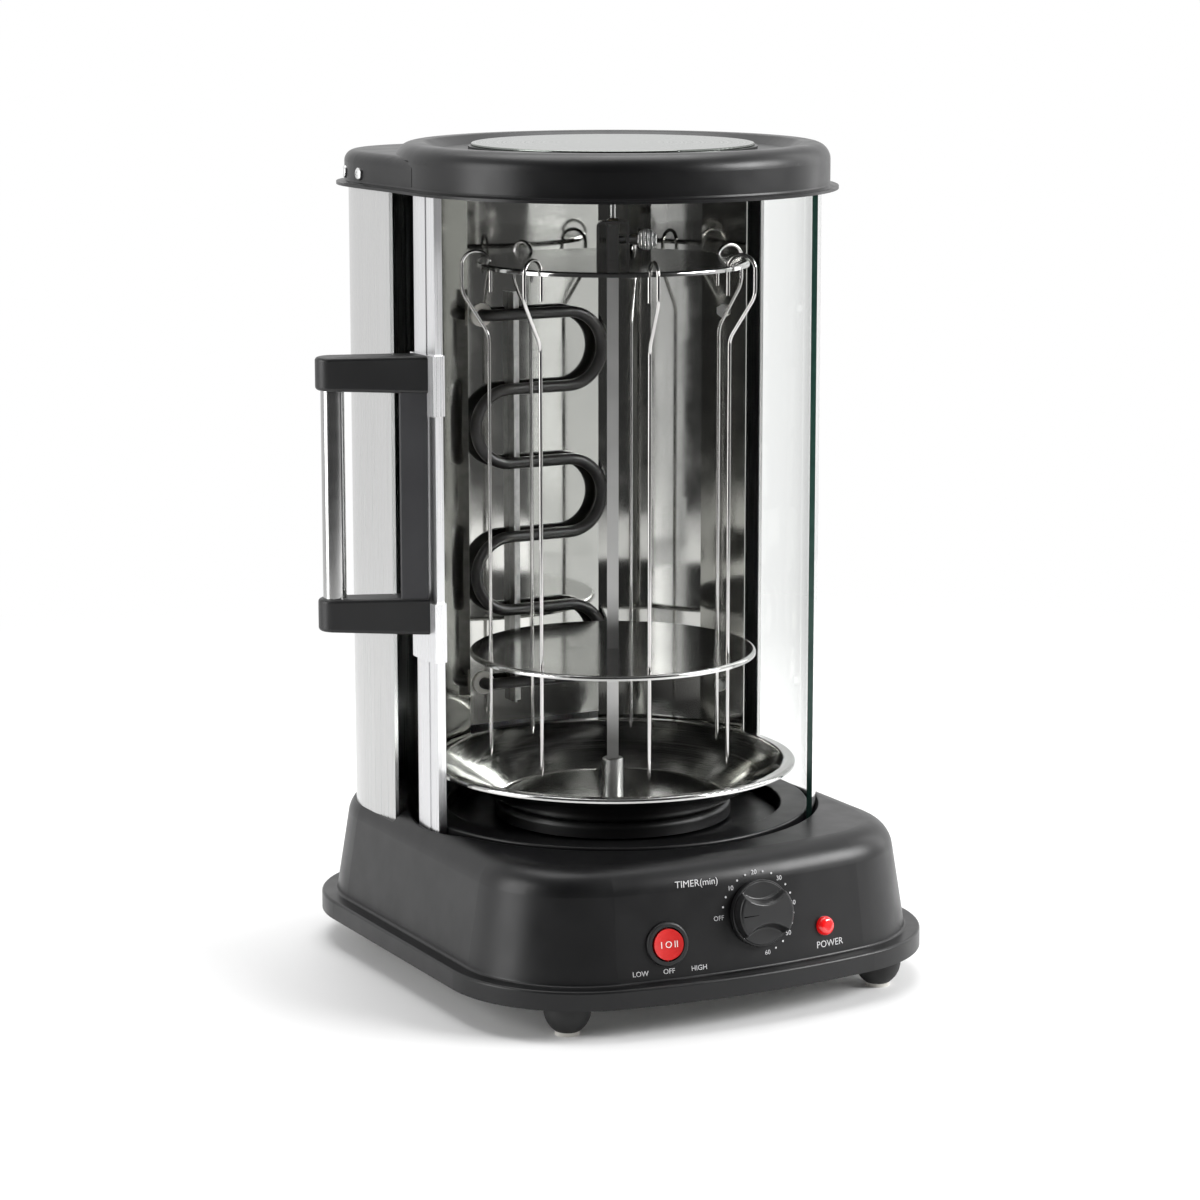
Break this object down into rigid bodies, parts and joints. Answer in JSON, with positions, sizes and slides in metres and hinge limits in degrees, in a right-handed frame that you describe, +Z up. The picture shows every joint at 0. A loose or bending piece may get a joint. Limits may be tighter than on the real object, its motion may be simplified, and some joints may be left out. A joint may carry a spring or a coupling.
{
  "type": "vertical rotisserie grill",
  "caption": "Countertop vertical grill with a turning skewer spit over a drip pan, rear heater and reflector, and a curved glass door that slides round into the rear housing.",
  "frame": {"origin": "on the spit's axis, at the level of the table under the feet", "axes": "+Z up along the spit's axis, the controls face -Y, +X to the right seen from the front"},
  "size_m": [0.3019, 0.3066, 0.448],
  "materials": {
    "black_paint": "satin",
    "black_plastic": "satin",
    "rubber": "matte",
    "pale_pad": "matte",
    "red_plastic": "gloss",
    "zinc_steel": "satin",
    "brushed_steel": "brushed",
    "mirror_steel": "mirror",
    "polished_steel": "polished",
    "disc_metal": "gloss",
    "brass": "turned",
    "heater_tube": "oxidised",
    "ceramic": "glazed",
    "glass": "clear",
    "aluminium": "satin"
  },
  "bodies": {
    "base": {"base_shell": "black_paint", "lid_cover": "black_paint", "lid_liner": "black_paint", "cable_gland": "black_plastic", "timer_body": "black_plastic", "switch_body": "black_plastic", "lamp_body": "black_plastic", "foot_front_left": "rubber", "foot_front_right": "rubber", "foot_rear_left": "rubber", "foot_rear_right": "rubber", "pad_front_left": "pale_pad", "pad_front_right": "pale_pad", "pad_rear_left": "pale_pad", "pad_rear_right": "pale_pad", "lamp_lens": "red_plastic", "bottom_plate": "zinc_steel", "base_screws": "zinc_steel", "motor": "zinc_steel", "motor_screws": "zinc_steel", "heater_bracket": "zinc_steel", "reflector_bolts": "zinc_steel", "rear_housing": "brushed_steel", "reflector": "mirror_steel", "lid_screws": "polished_steel", "lid_disc": "disc_metal", "spit_bush": "brass", "heater": "heater_tube", "heater_bush_upper": "ceramic", "heater_bush_lower": "ceramic"},
    "door": {"door_glass": "glass", "door_profile": "aluminium", "clip_upper": "aluminium", "clip_lower": "aluminium", "handle_arm_upper": "black_plastic", "handle_arm_lower": "black_plastic", "grip_tube": "brushed_steel"},
    "spit": {"drive_shaft": "zinc_steel", "turntable": "black_plastic", "drip_pan": "polished_steel", "spit_socket": "polished_steel", "spit_shaft": "polished_steel", "cross_pin": "polished_steel", "lower_plate": "polished_steel", "upper_plate": "polished_steel", "clamp_bracket": "polished_steel", "skewer_1": "polished_steel", "skewer_2": "polished_steel", "skewer_3": "polished_steel", "skewer_4": "polished_steel", "skewer_5": "polished_steel", "skewer_6": "polished_steel", "skewer_7": "polished_steel"},
    "timer_knob": {"timer_knob": "black_plastic"},
    "rocker": {"rocker": "red_plastic"},
    "thumb_screw": {"thumb_screw": "polished_steel"}
  },
  "joints": [
    {"name": "door_slide", "type": "hinge", "parent": "base", "child": "door", "pos_m": [0, 0, 0], "axis": [0, 0, 1], "range_deg": [0, 187]},
    {"name": "spit_turn", "type": "hinge", "parent": "base", "child": "spit", "pos_m": [0, 0, 0], "axis": [0, 0, 1], "continuous": true},
    {"name": "timer_turn", "type": "hinge", "parent": "base", "child": "timer_knob", "pos_m": [0.008, -0.14689, 0.056], "axis": [-0.019, 0.9875, -0.1564], "range_deg": [0, 260]},
    {"name": "rocker_tilt", "type": "hinge", "parent": "base", "child": "rocker", "pos_m": [-0.04584, -0.14454, 0.04577], "axis": [0.0173, 0.1555, 0.9877], "range_deg": [-10, 10]},
    {"name": "thumb_turn", "type": "hinge", "parent": "spit", "child": "thumb_screw", "pos_m": [0, 0, 0.3955], "axis": [0.8829, -0.4695, 0], "continuous": true}
  ]
}
